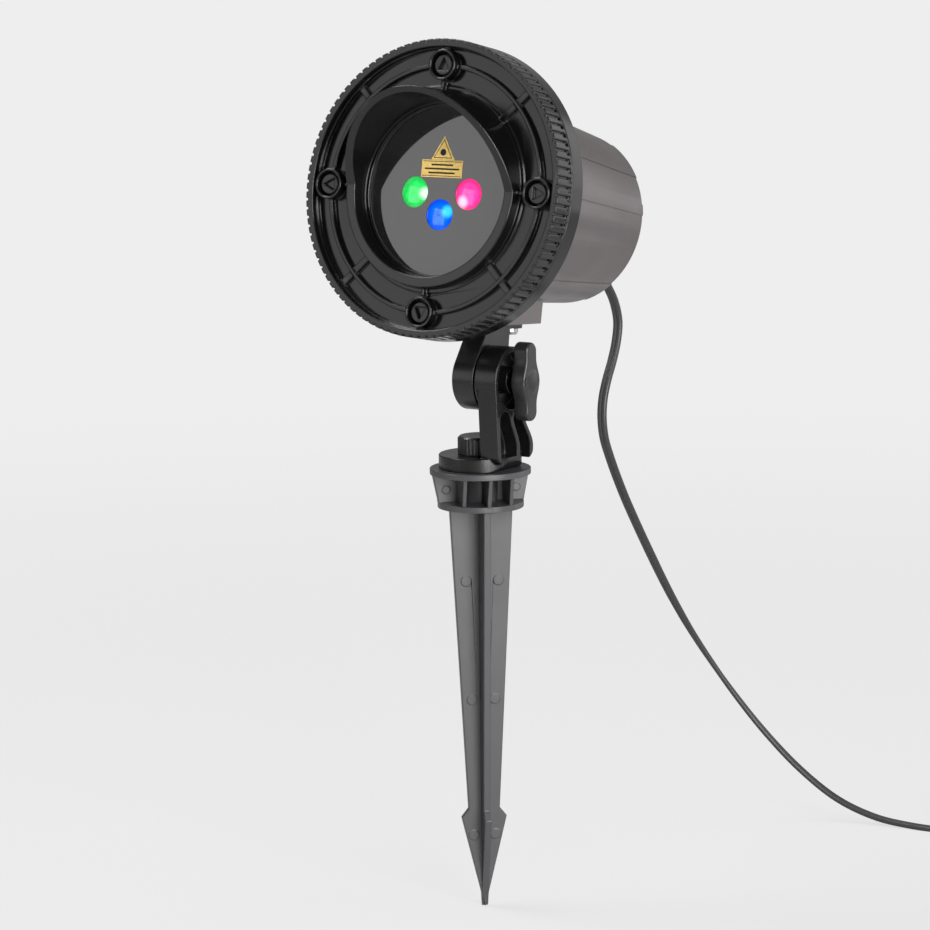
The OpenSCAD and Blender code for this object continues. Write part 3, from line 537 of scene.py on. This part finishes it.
def make_plug():
    """The moulded barrel plug, with a ribbed neck and finger grooves. Its profile is in millimetres."""
    origin = Vector(TAIL_ROUTE[-1]) * MM
    ahead = origin - Vector(TAIL_ROUTE[-2]) * MM
    ahead.z = 0
    grip, front, socket, socket_base = 4.9, 24, 2.35, 18.1
    profile = [(0, -0.5), (2.7, -0.5)]
    for i in range(4):
        z, r = 0.4 + 1.9 * i, 3.1 + 0.22 * i
        profile += [(r, z), (r, z + 1.1), (r - 0.6, z + 1.3), (r - 0.6, z + 1.8)]
    profile += [(4.0, 8.2), (4.7, 9.2), (grip, 10)]
    for i in range(4):
        z = 11.8 + 1.8 * i
        profile += [(grip, z), (grip - 0.4, z + 0.4), (grip - 0.4, z + 1), (grip, z + 1.4)]
    profile += [(grip, front - 0.8), (4.6, front - 0.1), (4.3, front)]
    profile += [(socket, front), (socket, socket_base), (0, socket_base)]
    profile = [(radius * MM, height * MM) for radius, height in profile]
    return lathe("plug_moulding", profile, along_matrix(origin, ahead.normalized()), 48)


def make_tie():
    """The soft strap round the coil's bundle, a closed loop."""
    half_w, low, high = 9.75 * MM, 0.35 * MM, 12.65 * MM
    middle = Vector((COIL_CENTRE.x, COIL_CENTRE.y - COIL_MIDDLE, (low + high) / 2))
    corner = 2.2 * MM
    path = []
    reach_y, reach_z = half_w - corner, (high - low) / 2 - corner
    for start, sy, sz in ((0, 1, 1), (90, -1, 1), (180, -1, -1), (270, 1, -1)):
        for step in range(0, 91, 15):
            a = math.radians(start + step)
            path.append(middle + Vector((
                0, sy * reach_y + corner * math.cos(a), sz * reach_z + corner * math.sin(a),
            )))
    section = [(-2.6, -0.3), (2.6, -0.3), (2.75, 0), (2.6, 0.3), (-2.6, 0.3), (-2.75, 0)]
    section = [(a * MM, b * MM) for a, b in section]
    verts, faces = [], []
    count, n = len(path), len(section)
    for i, centre in enumerate(path):
        ahead = (path[(i + 1) % count] - path[i - 1]).normalized()
        across = Vector((1, 0, 0))
        up = ahead.cross(across)
        verts += [centre + across * a + up * b for a, b in section]
        for k in range(n):
            k2, j = (k + 1) % n, (i + 1) % count
            faces.append((i * n + k, i * n + k2, j * n + k2, j * n + k))
    return add_object("coil_strap", verts, faces)


def film(name, outlines, thick):
    """Thin raised shapes on the window's front. outlines are lists of [x, up] points in the head's frame."""
    verts, faces = [], []
    for outline in outlines:
        base = len(verts)
        n = len(outline)
        for back in (WINDOW_FRONT - thick, WINDOW_FRONT - 0.01 * MM):
            verts += [head_point(x * MM, -up * MM, back) for x, up in outline]
        faces.append(tuple(base + k for k in range(n)))
        faces.append(tuple(base + n + k for k in reversed(range(n))))
        for k in range(n):
            k2 = (k + 1) % n
            faces.append((base + k, base + n + k, base + n + k2, base + k2))
    return add_object(name, verts, faces, smooth=False)


def make_label():
    """A generic foil sticker: a plain triangle over a plate of plain bars, with no lettering."""
    shift, apex, base, half = -0.9, 23.8, 13.4, 6
    centre_up = (apex + 2 * base) / 3
    plate_half, plate_top, plate_low = 10.5, 13.3, 5.7

    def inset(share):
        corners = [(0, apex), (half, base), (-half, base)]
        return [(shift + x * share, centre_up + (up - centre_up) * share) for x, up in corners]

    def bar(reach, top, tall):
        left, right, low = shift - reach, shift + reach, top - tall
        return [(left, top), (right, top), (right, low), (left, low)]

    foil = film("sticker_foil", [inset(1), bar(plate_half, plate_top, plate_top - plate_low)], 0.12 * MM)
    dot_r, dot_up = 1.5, centre_up - 0.2
    turns = [math.radians(20 * k) for k in range(18)]
    dot = [(shift + dot_r * math.cos(a), dot_up + dot_r * math.sin(a)) for a in turns]
    rows = [bar(reach, plate_top - 1.75 - 1.75 * row, 0.75) for row, reach in enumerate((5.6, 8.9, 6.8))]
    frame_bars = [
        bar(plate_half - 0.5, plate_top - 0.5, 0.28), bar(plate_half - 0.5, plate_low + 0.78, 0.28),
    ]
    ink = film("sticker_print", [inset(0.8), *frame_bars, *rows], 0.15 * MM)
    face = film("sticker_face", [inset(0.7)], 0.18 * MM)
    spot = film("sticker_dot", [dot], 0.21 * MM)
    return foil, ink, face, spot


# ---------- Edges of the CAD nodes ----------

# Nodes with thin steps, whose rounding stops where it would run past them
CLAMPED = {"rear_housing"}

# How far each node's corners are rounded, in millimetres
ROUNDING = {
    "ground_stake": 0.3, "tilt_bracket": 0.45, "head_lug": 0.5, "rear_housing": 0.12,
    "front_bezel": 0.3, "rear_collar": 0.4, "wing_knob": 1.2, "thumb_screw": 0.18, "screw_plugs": 0.2,
    "pivot_washer": 0.15, "window_gasket": 0.1, "plug_barrel": 0.15, "lug_screws": 0.12,
    "bezel_screws": 0.1, "window_retainer": 0.1, "module_mount": 0.3, "board_components": 0.3,
}


def round_edges(obj, width):
    """Joins the node's faces, takes out its flat triangles and rounds its corners."""
    weld = obj.modifiers.new("weld", "WELD")
    weld.merge_threshold = 0.000002
    flat = obj.modifiers.new("flat", "DECIMATE")
    flat.decimate_type = "DISSOLVE"
    flat.angle_limit = math.radians(0.4)
    bevel = obj.modifiers.new("bevel", "BEVEL")
    bevel.width = width * MM
    bevel.segments = 3
    bevel.limit_method = "ANGLE"
    bevel.angle_limit = math.radians(24)
    bevel.use_clamp_overlap = obj.name in CLAMPED
    shade = obj.modifiers.new("shade", "WEIGHTED_NORMAL")
    shade.weight = 80


def finish_cad_nodes(materials):
    """Gives each CAD node its material and its rounded edges."""
    slots = {s["node"]: s["material_slot"] for s in frame["record"]["subparts"]}
    for name, obj in NODES.items():
        obj.data.materials.clear()
        obj.data.materials.append(materials[slots[name]])
        if name in ROUNDING:
            round_edges(obj, ROUNDING[name])


# ---------- Stage ----------


def make_world():
    """A white room to the camera, and a dimmer studio, paler behind, to the part."""
    world = bpy.data.worlds.new("studio")
    SCENE.world = world
    world.use_nodes = True
    tree = world.node_tree
    tree.nodes.clear()
    new, link = tree.nodes.new, tree.links.new
    seen = new("ShaderNodeBackground")
    seen.inputs["Color"].default_value = (PAPER_WHITE, PAPER_WHITE, PAPER_WHITE, 1)
    felt = new("ShaderNodeBackground")
    coords = new("ShaderNodeTexCoord")
    split = new("ShaderNodeSeparateXYZ")
    link(coords.outputs["Generated"], split.inputs[0])
    ramp = new("ShaderNodeMapRange")
    ramp.inputs["From Min"].default_value = -0.6
    ramp.inputs["From Max"].default_value = 0.9
    ramp.inputs["To Min"].default_value = 0.03
    ramp.inputs["To Max"].default_value = 0.42
    link(split.outputs["Y"], ramp.inputs["Value"])
    link(ramp.outputs["Result"], felt.inputs["Strength"])
    path = new("ShaderNodeLightPath")
    mix = new("ShaderNodeMixShader")
    link(path.outputs["Is Camera Ray"], mix.inputs[0])
    link(felt.outputs[0], mix.inputs[1])
    link(seen.outputs[0], mix.inputs[2])
    link(mix.outputs[0], new("ShaderNodeOutputWorld").inputs[0])


def make_floor():
    """A plain pale floor that fades into the white room; its shadows stay soft."""
    bpy.ops.mesh.primitive_circle_add(vertices=96, radius=14, fill_type="NGON")
    floor = bpy.context.object
    floor.name = "floor"
    material = bpy.data.materials.new("pale_floor")
    material.use_nodes = True
    tree = material.node_tree
    tree.nodes.clear()
    new, link = tree.nodes.new, tree.links.new
    glow = new("ShaderNodeEmission")
    glow.inputs["Color"].default_value = (PAPER_WHITE, PAPER_WHITE, PAPER_WHITE, 1)
    paper = new("ShaderNodeBsdfDiffuse")
    paper.inputs["Color"].default_value = (0.55, 0.55, 0.55, 1)
    coords = new("ShaderNodeTexCoord")
    reach = new("ShaderNodeVectorMath")
    reach.operation = "LENGTH"
    link(coords.outputs["Object"], reach.inputs[0])
    fade = new("ShaderNodeMapRange")
    fade.interpolation_type = "SMOOTHSTEP"
    fade.inputs["From Min"].default_value = 0.3
    fade.inputs["From Max"].default_value = 1.6
    fade.inputs["To Min"].default_value = 0.8
    link(reach.outputs["Value"], fade.inputs["Value"])
    near = new("ShaderNodeMixShader")
    link(fade.outputs["Result"], near.inputs[0])
    link(paper.outputs[0], near.inputs[1])
    link(glow.outputs[0], near.inputs[2])
    path = new("ShaderNodeLightPath")
    mix = new("ShaderNodeMixShader")
    link(path.outputs["Is Camera Ray"], mix.inputs[0])
    link(paper.outputs[0], mix.inputs[1])
    link(near.outputs[0], mix.inputs[2])
    link(mix.outputs[0], new("ShaderNodeOutputMaterial").inputs[0])
    floor.data.materials.append(material)


def softbox(name, way, distance, width, height, power):
    """A soft light off to one side, turned to the light head and hidden from the camera."""
    data = bpy.data.lights.new(name, "AREA")
    data.shape = "RECTANGLE"
    data.size = width
    data.size_y = height
    data.energy = power
    light = bpy.data.objects.new(name, data)
    SCENE.collection.objects.link(light)
    way = Vector(way).normalized()
    light.location = HEAD_MIDDLE + way * distance
    light.rotation_euler = (-way).to_track_quat("-Z", "Y").to_euler()
    light.visible_camera = False


def make_lights():
    """Five soft lights round the head."""
    softbox("back_right", (0.62, 0.76, 0.05), 1.7, 1.7, 1.5, 8)
    softbox("key_right", (0.84, -0.5, 0.12), 1.6, 1.0, 1.4, 50)
    softbox("upper_left", (-0.54, -0.15, 0.81), 1.5, 0.7, 0.7, 20)
    softbox("front_left", (-0.538, -0.826, 0.157), 2.0, 1.0, 1.0, 4.3)
    softbox("top", (0.05, 0.1, 1), 1.5, 1.3, 1.0, 7)


# ---------- Put together ----------


def main():
    """Camera and cord first, then the looks of the CAD nodes, the new pieces and the studio."""
    make_camera()
    cord, points, length = make_cord()
    materials = cad_materials()
    finish_cad_nodes(materials)

    relief = make_strain_relief()
    plug = make_plug()
    strap = make_tie()
    foil, ink, face, spot = make_label()
    pieces = (
        (cord, "cord_pvc", ("cord_lead", "cord_coil", "cord_tail")),
        (relief, "cord_pvc", ("strain_relief",)),
        (plug, "cord_pvc", ("plug_body",)),
        (strap, "seal_rubber", ("cord_tie",)),
        (foil, "gold_foil", ("foil_sticker",)),
        (ink, "seal_rubber", ()),
        (face, "gold_foil", ()),
        (spot, "seal_rubber", ()),
    )
    for piece, slot, stands_for in pieces:
        piece.data.materials.append(materials[slot])
        if stands_for:
            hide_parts(*stands_for)
    for piece in (relief, foil, ink, face, spot):
        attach(piece, "head")
    for piece in (plug, strap):
        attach(piece, "bracket")
    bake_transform(cord)
    make_world()
    make_floor()
    make_lights()
    SCENE.view_settings.view_transform = "Standard"
    SCENE.view_settings.look = "None"


main()
